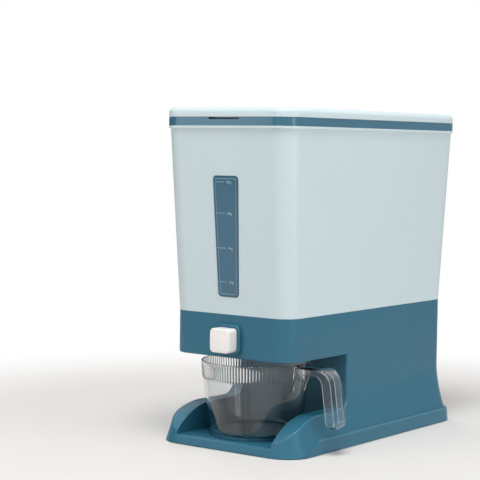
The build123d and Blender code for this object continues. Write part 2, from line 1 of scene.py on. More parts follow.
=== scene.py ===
# %% [markdown]
# # A rice bin in Blender
# The bin is a pale hopper with a lid, on a blue-green base with a push button over a clear cup.
# Its solids come in as a fixed frame. This lesson gives them finishes, and makes anew the pieces whose
# detail is too fine for solids: the ribbed cup, the marks on the level window and the spring.
# At the end, copies of four solids get softly rounded edges.
# Lengths are in millimetres, or in metres where a name ends in _M or _m.

import json
import math

import bmesh
import bpy
import numpy as np
from mathutils import Matrix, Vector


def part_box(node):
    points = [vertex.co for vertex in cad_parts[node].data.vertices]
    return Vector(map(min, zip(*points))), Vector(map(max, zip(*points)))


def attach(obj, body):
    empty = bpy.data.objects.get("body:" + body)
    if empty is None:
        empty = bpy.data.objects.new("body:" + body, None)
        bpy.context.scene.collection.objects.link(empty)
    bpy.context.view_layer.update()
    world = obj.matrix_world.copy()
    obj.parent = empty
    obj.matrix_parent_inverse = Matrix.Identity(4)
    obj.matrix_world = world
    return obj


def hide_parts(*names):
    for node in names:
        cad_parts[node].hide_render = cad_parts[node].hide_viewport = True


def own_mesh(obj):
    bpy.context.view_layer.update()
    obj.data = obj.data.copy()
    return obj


MM = 0.001
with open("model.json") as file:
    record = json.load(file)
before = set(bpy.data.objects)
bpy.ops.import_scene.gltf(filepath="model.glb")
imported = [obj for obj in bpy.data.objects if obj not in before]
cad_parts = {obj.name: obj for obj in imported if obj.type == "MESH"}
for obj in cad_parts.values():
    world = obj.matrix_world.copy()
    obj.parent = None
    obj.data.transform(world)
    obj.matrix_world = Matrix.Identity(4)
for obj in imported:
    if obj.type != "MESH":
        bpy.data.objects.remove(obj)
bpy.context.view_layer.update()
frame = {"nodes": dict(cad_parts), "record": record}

# %% [markdown]
# ## Camera
# The view is from the right of the front, a little lower than the lid's top and tilted slightly down.
# The lens is long, so that upright edges stay nearly parallel. The place and turn were found by matching
# the bin's edges to the picture.

# %% Placing tools


def placed(name, data):
    """A new object for the data, linked into the scene."""
    made = bpy.data.objects.new(name, data)
    bpy.context.scene.collection.objects.link(made)
    return made


def facing(right, up, back, place):
    """The matrix that turns an object's own x, y and z to right, up and back, and puts it at a place."""
    turned = np.eye(4)
    turned[:3, :] = np.column_stack([right, up, back, place])
    return Matrix(turned.tolist())


# %% Camera
AZIMUTH, PITCH, ROLL = np.radians([36.86, 3.48, 0.80])
CAMERA_PLACE_M = np.array([1.0638, -1.5759, 0.3507])
PICTURE_PX = 480
FOCAL_PX = 1530.96
SENSOR_MM = 36.0

look = np.array([
    -np.sin(AZIMUTH) * np.cos(PITCH),
    np.cos(AZIMUTH) * np.cos(PITCH),
    -np.sin(PITCH),
])
level_right = np.array([np.cos(AZIMUTH), np.sin(AZIMUTH), 0.0])
level_up = np.cross(level_right, look)
right = np.cos(ROLL) * level_right + np.sin(ROLL) * level_up
up = np.cos(ROLL) * level_up - np.sin(ROLL) * level_right

camera = placed("camera", bpy.data.cameras.new("camera"))
camera.data.sensor_width = SENSOR_MM
camera.data.lens = FOCAL_PX / PICTURE_PX * SENSOR_MM
camera.matrix_world = facing(right, up, -look, CAMERA_PLACE_M)
bpy.context.scene.camera = camera
bpy.context.scene.view_settings.view_transform = "Standard"
print("camera: lens", round(camera.data.lens, 1), "mm")

# %% [markdown]
# ## Small tools
# Colours are written as hex values, as in a paint chart, and one function makes them linear.
# One function adds a shader node with its settings, values and links.

# %% Colour and node tools


def linear(hex_colour):
    """sRGB to linear: v / 12.92 for dark values, and ((v + 0.055) / 1.055) to the power 2.4 above."""
    value = np.array([int(hex_colour[i:i + 2], 16) for i in (1, 3, 5)]) / 255
    made = np.where(value <= 0.04045, value / 12.92, ((value + 0.055) / 1.055) ** 2.4)
    return (*made.tolist(), 1.0)


def add(tree, kind, values=None, links=None, **settings):
    """Adds a node to a tree, with its settings, the values of its inputs and the links into them."""
    made = tree.nodes.new(kind)
    for name, setting in settings.items():
        setattr(made, name, setting)
    for name, value in (values or {}).items():
        made.inputs[name].default_value = value
    for name, source in (links or {}).items():
        tree.links.new(source, made.inputs[name])
    return made


def new_tree(data):
    """The empty node tree of a material or world."""
    data.use_nodes = True
    data.node_tree.nodes.clear()
    return data.node_tree


WHITE = linear("#FFFFFF")
print("white is", WHITE, "and mid grey is", [round(v, 3) for v in linear("#808080")])

# %% [markdown]
# ## Light and floor
# A studio tent gives even light from all round, weaker on the left, and the camera sees it white.
# Gloss and clear plastic see its walls as they are: bright above, dimmer behind, and with a dark flag on
# the left. Flat faces and clear walls need such differences, or they reflect nothing but one grey.

# %% What gloss sees
GLOSS_FRONT = 0.65
GLOSS_BEHIND = 0.42
GLOSS_ABOVE = 1.2
GLOSS_LEFT_SHARE = 0.15
FILL_LEFT_SHARE = 0.4
# The tent changes gradually, between two values of a direction's y, x or z.
BEHIND_STARTS, BEHIND_FULL = 0.1, 0.7
LEFT_FULL, LEFT_ENDS = -0.7, -0.1
ABOVE_STARTS, ABOVE_FULL = 0.25, 0.6

world = bpy.data.worlds.new("tent")
bpy.context.scene.world = world
tree = new_tree(world)
coords = add(tree, "ShaderNodeTexCoord")
parts = add(tree, "ShaderNodeSeparateXYZ", links={0: coords.outputs["Generated"]})
wall = add(tree, "ShaderNodeMapRange", {1: BEHIND_STARTS, 2: BEHIND_FULL, 3: GLOSS_FRONT, 4: GLOSS_BEHIND},
           links={0: parts.outputs["Y"]}, interpolation_type="SMOOTHSTEP")
flag, shade = [
    add(tree, "ShaderNodeMapRange", {1: LEFT_FULL, 2: LEFT_ENDS, 3: share, 4: 1.0},
        links={0: parts.outputs["X"]}, interpolation_type="SMOOTHSTEP")
    for share in (GLOSS_LEFT_SHARE, FILL_LEFT_SHARE)
]
dimmed = add(tree, "ShaderNodeMath", operation="MULTIPLY", links={0: wall.outputs[0], 1: flag.outputs[0]})
high = add(tree, "ShaderNodeMapRange", {1: ABOVE_STARTS, 2: ABOVE_FULL}, links={0: parts.outputs["Z"]},
           interpolation_type="SMOOTHSTEP")
shown = add(tree, "ShaderNodeMix", {3: GLOSS_ABOVE}, links={0: high.outputs[0], 2: dimmed.outputs[0]})
gloss = add(tree, "ShaderNodeBackground", {"Color": WHITE}, links={"Strength": shown.outputs[0]})
print("gloss sees", GLOSS_FRONT, "in front,", GLOSS_BEHIND, "behind and", GLOSS_ABOVE, "above")

# %% Tent
AMBIENT = 0.45

fill = add(tree, "ShaderNodeMath", {1: AMBIENT}, operation="MULTIPLY", links={0: shade.outputs[0]})
light = add(tree, "ShaderNodeBackground", {"Color": WHITE}, links={"Strength": fill.outputs[0]})
white = add(tree, "ShaderNodeBackground", {"Color": WHITE, "Strength": 1.0})
path = add(tree, "ShaderNodeLightPath")
bent = add(tree, "ShaderNodeMath", operation="MAXIMUM",
           links={0: path.outputs["Is Glossy Ray"], 1: path.outputs["Is Transmission Ray"]})
tent = add(tree, "ShaderNodeMixShader",
           links={0: bent.outputs[0], 1: light.outputs[0], 2: gloss.outputs[0]})
tent = add(tree, "ShaderNodeMixShader",
           links={0: path.outputs["Is Camera Ray"], 1: tent.outputs[0], 2: white.outputs[0]})
add(tree, "ShaderNodeOutputWorld", links={"Surface": tent.outputs[0]})
print("world: ambient", AMBIENT)

# %% [markdown]
# Lamps shape the bin. A strong soft box above draws bright lines along the upper edges, a key stands on
# the left of the front, and two more fill the right side and the left rear. Two small ceiling lamps leave
# glints in the clear cup, and two lamps near the lid's height show in its polished band. The key and the two
# fills are hidden from gloss, where they would lie as white squares.

# %% Soft boxes
MIDDLE_M = (0.0, 0.0, 0.2)
LID_BAND_M = (0.0, -0.1, 0.37)
# Each lamp's place in metres, what it looks at, the length of its sides in metres, and its watts
LAMPS = {
    "soft_box_top": ((0.4, -0.7, 2.15), MIDDLE_M, 0.8, 32),
    "soft_box_key": ((-0.9, -2.0, 0.9), MIDDLE_M, 1.0, 6.8),
    "soft_box_right": ((1.4, 0.05, 0.55), MIDDLE_M, 0.7, 5.2),
    "soft_box_left_rear": ((-1.2, 0.9, 0.7), MIDDLE_M, 0.8, 7.5),
    "ceiling_lamp_left": ((-0.35, -1.6, 1.2), MIDDLE_M, 0.12, 0.9),
    "ceiling_lamp_right": ((0.25, -1.6, 1.2), MIDDLE_M, 0.12, 0.9),
    "strip_left": ((-0.62, -0.9, 0.38), LID_BAND_M, 0.3, 0.45),
    "strip_right": ((1.4, -0.3, 0.3), LID_BAND_M, 0.4, 0.9),
}
HIDDEN_FROM_GLOSS = ("soft_box_key", "soft_box_right", "soft_box_left_rear")


def soft_box(name, place, aim, size, watts):
    """A square area lamp at a place, turned so that its face looks at the aim."""
    lamp = placed(name, bpy.data.lights.new(name, "AREA"))
    lamp.data.shape = "SQUARE"
    lamp.data.size = size
    lamp.data.energy = watts
    back = np.array(place, float) - np.array(aim, float)
    back /= np.linalg.norm(back)
    side = np.cross([0.0, 0.0, 1.0], back)
    side /= np.linalg.norm(side)
    lamp.matrix_world = facing(side, np.cross(back, side), back, place)
    lamp.visible_glossy = name not in HIDDEN_FROM_GLOSS
    lamp.visible_transmission = name not in HIDDEN_FROM_GLOSS


for name, row in LAMPS.items():
    soft_box(name, *row)
print("lamps:", list(LAMPS))

# %% [markdown]
# The floor is a pale table. Further out it turns to the white of the tent, but only for the camera, so
# that the light it throws back onto the bin stays that of a table.

# %% Floor
FLOOR_HALF_M = 4.0
FLOOR_PALE_M = 0.38
FLOOR_WHITE_M = 0.8
floor_mesh = bpy.data.meshes.new("floor")
floor_corners = np.array([[-1, -1, 0], [1, -1, 0], [1, 1, 0], [-1, 1, 0]]) * FLOOR_HALF_M
floor_mesh.from_pydata(floor_corners.tolist(), [], [(0, 1, 2, 3)])
floor = placed("floor", floor_mesh)

floor_paint = bpy.data.materials.new("pale_table_laminate")
tree = new_tree(floor_paint)
coords = add(tree, "ShaderNodeTexCoord")
distance = add(tree, "ShaderNodeVectorMath", operation="LENGTH", links={0: coords.outputs["Object"]})
fade = add(tree, "ShaderNodeMapRange", {1: FLOOR_PALE_M, 2: FLOOR_WHITE_M},
           links={0: distance.outputs["Value"]}, interpolation_type="SMOOTHSTEP")
path = add(tree, "ShaderNodeLightPath")
matte = add(tree, "ShaderNodeBsdfDiffuse", {"Color": linear("#DBD8D5")})
white = add(tree, "ShaderNodeEmission", {"Color": WHITE, "Strength": 1.0})
seen = add(tree, "ShaderNodeMath", operation="MULTIPLY",
           links={0: fade.outputs[0], 1: path.outputs["Is Camera Ray"]})
mixed = add(tree, "ShaderNodeMixShader",
            links={0: seen.outputs[0], 1: matte.outputs[0], 2: white.outputs[0]})
add(tree, "ShaderNodeOutputMaterial", links={"Surface": mixed.outputs[0]})
floor_mesh.materials.append(floor_paint)
print("floor:", 2 * FLOOR_HALF_M, "m square")

# %% [markdown]
# ## Moulded plastics
# The hopper, lid and base are polypropylene, injected into a spark-eroded mould. That leaves a fine
# even grain, a satin gloss and hardly any change of colour. The band under the lid comes from a polished
# mould, so a smooth clear layer lies on its body, which has a faint waviness in place of the grain.
# The button is ABS, and a little glossier than the hopper.
# The real grain is a tenth of a millimetre wide. It is drawn three times as coarse, so that it shows.
# The roughness of these pieces stays above 0.28: under that, the noise filter of the render treats a
# surface as a mirror, and a gloss that wavers across the limit comes out in specks.

# %% Moulded plastic
BUMP_STRENGTH = 0.35
COAT_ROUGHNESS = 0.12
DRIFT_MM = 90
SMEAR_MM = 14
NOISE_LOW, NOISE_HIGH = 0.3, 0.7
GLOSS_DROP, GLOSS_RISE = 0.04, 0.05


def moulded_plastic(name, body, cloud, rough, grain_mm, depth_mm, ior, polish=0.0):
    """A plastic, rubber or ink whose colour drifts slowly between two near shades, with an uneven gloss
    and a grain of the given width and depth. Polish is the weight of a smooth clear layer on top."""
    material = bpy.data.materials.new(name)
    tree = new_tree(material)
    coords = add(tree, "ShaderNodeTexCoord")
    drift = add(tree, "ShaderNodeTexNoise", {"Scale": 1 / (DRIFT_MM * MM), "Detail": 3.0},
                links={"Vector": coords.outputs["Object"]})
    colour = add(tree, "ShaderNodeMix", {6: linear(body), 7: linear(cloud)},
                 links={0: drift.outputs["Fac"]}, data_type="RGBA")
    smear = add(tree, "ShaderNodeTexNoise", {"Scale": 1 / (SMEAR_MM * MM), "Detail": 4.0},
                links={"Vector": coords.outputs["Object"]})
    gloss = add(tree, "ShaderNodeMapRange",
                {1: NOISE_LOW, 2: NOISE_HIGH, 3: rough - GLOSS_DROP, 4: rough + GLOSS_RISE},
                links={0: smear.outputs["Fac"]})
    grain = add(tree, "ShaderNodeTexNoise", {"Scale": 1 / (grain_mm * MM), "Detail": 2.0},
                links={"Vector": coords.outputs["Object"]})
    bump = add(tree, "ShaderNodeBump", {"Strength": BUMP_STRENGTH, "Distance": depth_mm * MM},
               links={"Height": grain.outputs["Fac"]})
    shader = add(tree, "ShaderNodeBsdfPrincipled",
                 {"IOR": ior, "Coat Weight": polish, "Coat Roughness": COAT_ROUGHNESS},
                 links={"Base Color": colour.outputs[2], "Roughness": gloss.outputs[0],
                        "Normal": bump.outputs["Normal"]})
    add(tree, "ShaderNodeOutputMaterial", links={"Surface": shader.outputs[0]})
    return material


print("colour drifts over", DRIFT_MM, "mm and gloss over", SMEAR_MM, "mm")

# %% Plastics
POLYPROPYLENE_IOR = 1.49
ABS_IOR = 1.54
teal = moulded_plastic("teal_polypropylene", "#28677F", "#26637A",
                       rough=0.36, grain_mm=0.3, depth_mm=0.02, ior=POLYPROPYLENE_IOR)
band = moulded_plastic("polished_teal_polypropylene", "#28677F", "#26637A",
                       rough=0.36, grain_mm=3.0, depth_mm=0.004, ior=POLYPROPYLENE_IOR, polish=1.0)
pale = moulded_plastic("pale_blue_polypropylene", "#C8D8DC", "#C5D5DA",
                       rough=0.38, grain_mm=0.3, depth_mm=0.02, ior=POLYPROPYLENE_IOR)
ivory = moulded_plastic("white_abs", "#F1EEEB", "#EEEAE6",
                        rough=0.33, grain_mm=0.3, depth_mm=0.01, ior=ABS_IOR)
print("plastics:", teal.name, band.name, pale.name, ivory.name)

# %% [markdown]
# ## Clear plastics
# The cup is clear polypropylene, and the window a smoky blue styrene, both moulded against polished steel.
# They bend light as glass does, and handling leaves their gloss a little uneven.
# The cup's IOR is a little under polypropylene's own, as its walls look in the picture.

# %% Clear plastics
CLEAR_IOR = 1.45
STYRENE_IOR = 1.57
TOUCH_MM = 22
TOUCH_LOW = 0.35
TOUCH_RISE = 0.02


def clear_plastic(name, tint, rough, share, ior):
    """A see-through plastic: share of the light goes through, the rest scatters from its tint."""
    material = bpy.data.materials.new(name)
    tree = new_tree(material)
    coords = add(tree, "ShaderNodeTexCoord")
    touch = add(tree, "ShaderNodeTexNoise", {"Scale": 1 / (TOUCH_MM * MM), "Detail": 3.0},
                links={"Vector": coords.outputs["Object"]})
    gloss = add(tree, "ShaderNodeMapRange", {1: TOUCH_LOW, 2: NOISE_HIGH, 3: rough, 4: rough + TOUCH_RISE},
                links={0: touch.outputs["Fac"]})
    shader = add(tree, "ShaderNodeBsdfPrincipled",
                 {"Base Color": linear(tint), "IOR": ior, "Transmission Weight": share},
                 links={"Roughness": gloss.outputs[0]})
    add(tree, "ShaderNodeOutputMaterial", links={"Surface": shader.outputs[0]})
    return material


clear = clear_plastic("clear_polypropylene", "#F2F5F6", rough=0.0, share=1.0, ior=CLEAR_IOR)
smoky = clear_plastic("smoky_blue_styrene", "#4C7D98", rough=0.08, share=0.35, ior=STYRENE_IOR)
print("clear plastics:", clear.name, smoky.name)

# %% [markdown]
# ## Steel, rubber and print
# The screws and hinge pins are zinc-plated steel and the spring is drawn wire, both with a finely mottled
# gloss. The feet and the lid's seal are grey rubber. The marks on the window are a pale screen print.

# %% Steel, rubber and print
RUBBER_IOR = 1.52
INK_IOR = 1.5
STEEL_DROP, STEEL_RISE = 0.06, 0.08


def mottled_steel(name, tint, rough, speck_mm):
    """A metal whose gloss varies in fine specks of the given width."""
    material = bpy.data.materials.new(name)
    tree = new_tree(material)
    coords = add(tree, "ShaderNodeTexCoord")
    specks = add(tree, "ShaderNodeTexNoise", {"Scale": 1 / (speck_mm * MM), "Detail": 2.0},
                 links={"Vector": coords.outputs["Object"]})
    gloss = add(tree, "ShaderNodeMapRange",
                {1: NOISE_LOW, 2: NOISE_HIGH, 3: rough - STEEL_DROP, 4: rough + STEEL_RISE},
                links={0: specks.outputs["Fac"]})
    shader = add(tree, "ShaderNodeBsdfPrincipled", {"Base Color": linear(tint), "Metallic": 1.0},
                 links={"Roughness": gloss.outputs[0]})
    add(tree, "ShaderNodeOutputMaterial", links={"Surface": shader.outputs[0]})
    return material


zinc = mottled_steel("zinc_plated_steel", "#C9CBCD", rough=0.35, speck_mm=0.6)
wire = mottled_steel("drawn_spring_steel", "#B4B6BA", rough=0.18, speck_mm=0.4)
rubber = moulded_plastic("grey_rubber", "#56595C", "#4F5255",
                         rough=0.75, grain_mm=0.5, depth_mm=0.04, ior=RUBBER_IOR)
print_ink = moulded_plastic("pale_screen_print", "#9DB7C6", "#97B1C1",
                            rough=0.5, grain_mm=0.3, depth_mm=0.005, ior=INK_IOR)
print("metals, rubber and print:", zinc.name, wire.name, rubber.name, print_ink.name)

# %% Finishes of the solids
FINISHES = {
    "teal_plastic": teal,
    "pale_blue_plastic": pale,
    "white_plastic": ivory,
    "smoky_clear_plastic": smoky,
    "clear_plastic": clear,
    "screw_steel": zinc,
    "spring_steel": wire,
    "grey_rubber": rubber,
}
slot_of = {row["node"]: row["material_slot"] for row in frame["record"]["subparts"]}
for node_name, node in frame["nodes"].items():
    node.material_slots[0].material = FINISHES[slot_of[node_name]]
frame["nodes"]["lid_collar"].material_slots[0].material = band
print("finished", len(slot_of), "solids")

# %% [markdown]
# ## Mesh tools
# A new piece is a grid of points, worked out all at once with numpy: a profile turned about an axis, or
# a section carried along a path. One function rounds an outline's corners, one joins a grid into faces,
# and one puts the result into a closed mesh. Two more unite pieces that overlap, and give a piece its
# shading, its finish and the body that it rides on.

# %% Outline and grid


def rounded(points, radii, closed, steps=8):
    """An outline with round corners. With t for half the corner's turn, its arc of radius r starts
    r tan(t) before the corner, and its centre lies r / cos(t) along the line that halves the corner."""
    points = np.asarray(points, float)
    ends = () if closed else (0, len(points) - 1)
    share = np.linspace(0, 1, steps + 1)[:, None]
    runs = []
    for place, (point, radius) in enumerate(zip(points, radii)):
        if radius == 0 or place in ends:
            runs.append(point[None, :])
            continue
        back = points[place - 1] - point
        ahead = points[(place + 1) % len(points)] - point
        back /= np.linalg.norm(back)
        ahead /= np.linalg.norm(ahead)
        turn = math.pi - math.acos(np.clip(back @ ahead, -1, 1))
        reach = radius * math.tan(turn / 2)
        middle = (back + ahead) / np.linalg.norm(back + ahead)
        centre = point + middle * radius / math.cos(turn / 2)
        first = point + back * reach - centre
        final = point + ahead * reach - centre
        arc = np.sin((1 - share) * turn) * first + np.sin(share * turn) * final
        runs.append(centre + arc / math.sin(turn))
    return np.concatenate(runs)


def grid_faces(rows, columns):
    """The four corners of every cell of a grid whose last column joins the first."""
    here = np.arange(rows * columns).reshape(rows, columns)
    ahead = np.roll(here, -1, axis=1)
    return np.stack([here[:-1], ahead[:-1], ahead[1:], here[1:]], axis=-1).reshape(-1, 4)


soft_square = rounded([(0, 0), (1, 0), (1, 1), (0, 1)], [0.2] * 4, True)
print("a square with round corners has", len(soft_square), "points")

# %% Pieces
SHARP_ANGLE = math.radians(38)
SAME_POINT_M = 1e-7


def solid_mesh(name, points, faces):
    """A closed mesh from points in millimetres: doubles merged, open ends filled, faces turned outwards."""
    mesh = bpy.data.meshes.new(name)
    mesh.from_pydata((np.asarray(points) * MM).tolist(), [], np.asarray(faces).tolist())
    shape = bmesh.new()
    shape.from_mesh(mesh)
    bmesh.ops.remove_doubles(shape, verts=shape.verts, dist=SAME_POINT_M)
    bmesh.ops.holes_fill(shape, edges=shape.edges, sides=0)
    bmesh.ops.recalc_face_normals(shape, faces=shape.faces)
    shape.to_mesh(mesh)
    shape.free()
    return placed(name, mesh)


def dress(made, body, finish):
    """Smooth shading up to the sharp angle, and the piece's body and finish."""
    made.data.shade_smooth()
    made.data.set_sharp_from_angle(angle=SHARP_ANGLE)
    made.data.materials.clear()
    made.data.materials.append(finish)
    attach(made, body)
    print(made.name, "has", len(made.data.polygons), "faces")


def united(made, others):
    """One mesh from pieces that overlap, so that no wall is left inside the clear plastic."""
    for other in others:
        join = made.modifiers.new(other.name, "BOOLEAN")
        join.operation = "UNION"
        join.solver = "MANIFOLD"
        join.object = other
    ready = made.evaluated_get(bpy.context.evaluated_depsgraph_get())
    whole = bpy.data.meshes.new_from_object(ready)
    made.modifiers.clear()
    made.data = whole
    for other in others:
        bpy.data.objects.remove(other)


print("edges sharper than", round(math.degrees(SHARP_ANGLE)), "degrees stay sharp")

# %% [markdown]
# ## The measuring cup
# The cup is one clear moulding: a tapered bowl, a wider collar with fine upright ribs for grip, and a
# hooked handle, a channel that opens towards the bowl. The ribs would make a heavy solid, so the cup is
# made here: the bowl is a profile turned about an upright axis, and each rib is a wave on its radius.

# %% Cup sizes
cup_low, cup_high = (np.array(corner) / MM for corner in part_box("measuring_cup"))
RIM_R = (cup_high[1] - cup_low[1]) / 2
CUP_X = cup_low[0] + RIM_R
CUP_Y = (cup_low[1] + cup_high[1]) / 2
RIM_Z = cup_high[2]
BOTTOM_Z = cup_low[2]
COLLAR_H = 21.0
COLLAR_LEAN = 1.6
COLLAR_STEP = 0.5
BOWL_TAPER = 9.3
CUP_WALL = 2.0

collar_z = RIM_Z - COLLAR_H
collar_r = RIM_R - COLLAR_LEAN
bowl_r = collar_r - COLLAR_STEP
bottom_r = bowl_r - BOWL_TAPER


def collar_radius(height):
    """The collar's outer radius, which grows evenly by its lean from its foot to the rim."""
    return collar_r + COLLAR_LEAN * (height - collar_z) / COLLAR_H


def bowl_radius(height):
    """The bowl's outer radius, which grows evenly by its taper from the bottom to the collar."""
    return bottom_r + BOWL_TAPER * (height - BOTTOM_Z) / (collar_z - BOTTOM_Z)


print("cup: radius", round(bottom_r, 2), "mm at the bottom and", round(RIM_R, 2), "mm at the rim")

# %% Cup bowl
BOTTOM_EDGE_R = 6.0
RIM_EDGE_R = 0.7
STEP_EDGE_R = 0.2
RIB_COUNT = 112
RIB_DEPTH = 0.6
RIB_FADE = 1.6
RIB_ROWS = 9
POINTS_PER_RIB = 9


def cup_profile():
    """Radius and height along the profile: from the axis up the outer wall to the rim, and back inside."""
    rib_z = np.linspace(collar_z + RIB_FADE / 2, RIM_Z - RIB_FADE / 2, RIB_ROWS)
    rib_line = [(collar_radius(height), height) for height in rib_z]
    shelf = collar_z + CUP_WALL
    outer = [(0, BOTTOM_Z), (bottom_r, BOTTOM_Z), (bowl_r, collar_z), (collar_r, collar_z)]
    outer_radii = [0, BOTTOM_EDGE_R, STEP_EDGE_R, STEP_EDGE_R]
    inner = [
        (RIM_R, RIM_Z),
        (RIM_R - CUP_WALL, RIM_Z),
        (collar_radius(shelf) - CUP_WALL, shelf),
        (bowl_radius(shelf) - CUP_WALL, shelf),
        (bottom_r - CUP_WALL + CUP_WALL * BOWL_TAPER / (collar_z - BOTTOM_Z), BOTTOM_Z + CUP_WALL),
        (0, BOTTOM_Z + CUP_WALL),
    ]
    inner_radii = [RIM_EDGE_R, RIM_EDGE_R, STEP_EDGE_R, STEP_EDGE_R, BOTTOM_EDGE_R - CUP_WALL, 0]
    corners = outer + rib_line + inner
    radii = outer_radii + [0] * len(rib_line) + inner_radii
    return rounded(corners, radii, False).T


def cup_bowl():
    """The profile turned about the cup's axis: at angle a the point is (r cos a, r sin a, z). On the
    collar, r gains half the ribs' depth times cos(ribs times a), which fades out at both ends."""
    radius, height = cup_profile()
    on_collar = np.abs(radius - collar_radius(height)) < CUP_WALL / 4
    fade = np.clip(np.minimum(height - collar_z, RIM_Z - height) / RIB_FADE - 0.5, 0, 1) * on_collar
    angle = np.arange(RIB_COUNT * POINTS_PER_RIB) * 2 * math.pi / (RIB_COUNT * POINTS_PER_RIB)
    wave = np.cos(RIB_COUNT * angle)
    ribbed = radius[:, None] + RIB_DEPTH / 2 * fade[:, None] * wave[None, :]
    points = np.stack([
        CUP_X + ribbed * np.cos(angle),
        CUP_Y + ribbed * np.sin(angle),
        np.broadcast_to(height[:, None], ribbed.shape),
    ], axis=-1)
    return solid_mesh("cup", points.reshape(-1, 3), grid_faces(len(radius), len(angle)))


cup = cup_bowl()
print("cup bowl:", len(cup.data.vertices), "points")

# %% [markdown]
# The handle leaves the collar level, bends down and ends in a rounded tip. Its section is a channel,
# because a thick solid moulding would sink in as it cools. The section is carried along the handle's
# outer line, with the shortest steps where the line bends or the section changes.

# %% Handle line
HANDLE_BELOW_RIM = 0.4
HANDLE_PAST_RIM = 55.5
HANDLE_TOP_Z = RIM_Z - HANDLE_BELOW_RIM
HANDLE_END_Z = 32.0
HANDLE_REACH = RIM_R + HANDLE_PAST_RIM
HANDLE_SLANT = math.radians(8)
HANDLE_BEND_R = 22.0
HANDLE_WALL = 2.5
HANDLE_END_R = 5.0
HANDLE_CORNER_R = 10.0
GUSSET_LENGTH = 14.0
ROOT_SPARE_SHARE = 0.1
BEND_SPARE = 12.0
STATION_GAP = 4.0
SHUT_STEP = 0.02
BEND_STEPS = 24
ROOT_STATIONS, BEND_STATIONS, DROP_STATIONS, END_STATIONS = 16, 40, 10, 9


def handle_line():
    """The hook's outer line as points in x and z: level from the collar, round the bend and down at a
    slant. With them comes each point's distance along the line."""
    lean = math.tan(HANDLE_SLANT) * (HANDLE_TOP_Z - HANDLE_END_Z)
    corners = [(collar_r, HANDLE_TOP_Z), (HANDLE_REACH - lean, HANDLE_TOP_Z), (HANDLE_REACH, HANDLE_END_Z)]
    line = rounded(corners, [0, HANDLE_BEND_R, 0], False, BEND_STEPS)
    steps = np.linalg.norm(np.diff(line, axis=0), axis=1)
    return line, np.concatenate([[0], np.cumsum(steps)])


def handle_stations(bend_start, bend_end, total):
    """The distances along the line where a section stands. In a rounding of radius r at the end, they lie
    r sin(t) past its start, for even steps of t. A close pair marks where the channel shuts."""
    end_turn = np.linspace(0, math.pi / 2, END_STATIONS)
    stations = np.concatenate([
        np.linspace(0, GUSSET_LENGTH + collar_r * ROOT_SPARE_SHARE, ROOT_STATIONS),
        np.linspace(bend_start - BEND_SPARE, bend_end + BEND_SPARE, BEND_STATIONS),
        np.linspace(bend_end + (BEND_SPARE + STATION_GAP), total - HANDLE_END_R - STATION_GAP, DROP_STATIONS),
        total - HANDLE_END_R + HANDLE_END_R * np.sin(end_turn),
        total - HANDLE_CORNER_R + HANDLE_CORNER_R * np.sin(end_turn),
        [total - HANDLE_WALL - SHUT_STEP, total - HANDLE_WALL + SHUT_STEP],
    ])
    return np.unique(np.clip(stations, 0, total))


print("handle line:", round(handle_line()[1][-1], 1), "mm long")

# %% Cup handle
HANDLE_W = 26.8
HANDLE_BEAM = 9.5
HANDLE_DEPTH = 11.8
GUSSET_DEPTH = 5.5
ROOT_SINK = 1.0
TIP_R = 1.1
WEB_R = 2.2
CHANNEL_R = 1.2
SECTION_STEPS = 5
WEB, TIP, CHANNEL = 0, 1, 2


def smooth_step(value, low, high):
    """3 s^2 - 2 s^3, where s runs from 0 at low to 1 at high."""
    share = np.clip((value - low) / (high - low), 0, 1)
    return share * share * (3 - 2 * share)


def drawn_in(stations, total, radius):
    """How far a quarter circle at the end draws a side in: r minus the root of r^2 - s^2, where s is the
    distance past the circle's start."""
    past = np.clip(stations - (total - radius), 0, radius)
    return radius - np.sqrt(radius ** 2 - past ** 2)


def handle_section():
    """A channel's closed outline, y across and h inwards, and for each of its points whether it belongs
    to the outer web, a flange's tip or the channel's own faces."""
    half = HANDLE_W / 2
    inside = half - HANDLE_WALL
    corners = [(-half, HANDLE_BEAM), (-half, 0), (half, 0), (half, HANDLE_BEAM), (inside, HANDLE_BEAM),
               (inside, HANDLE_WALL), (-inside, HANDLE_WALL), (-inside, HANDLE_BEAM)]
    kinds = [TIP, WEB, WEB, TIP, TIP, CHANNEL, CHANNEL, TIP]
    radii = [{WEB: WEB_R, TIP: TIP_R, CHANNEL: CHANNEL_R}[kind] for kind in kinds]
    return rounded(corners, radii, True, SECTION_STEPS), np.repeat(kinds, SECTION_STEPS + 1)


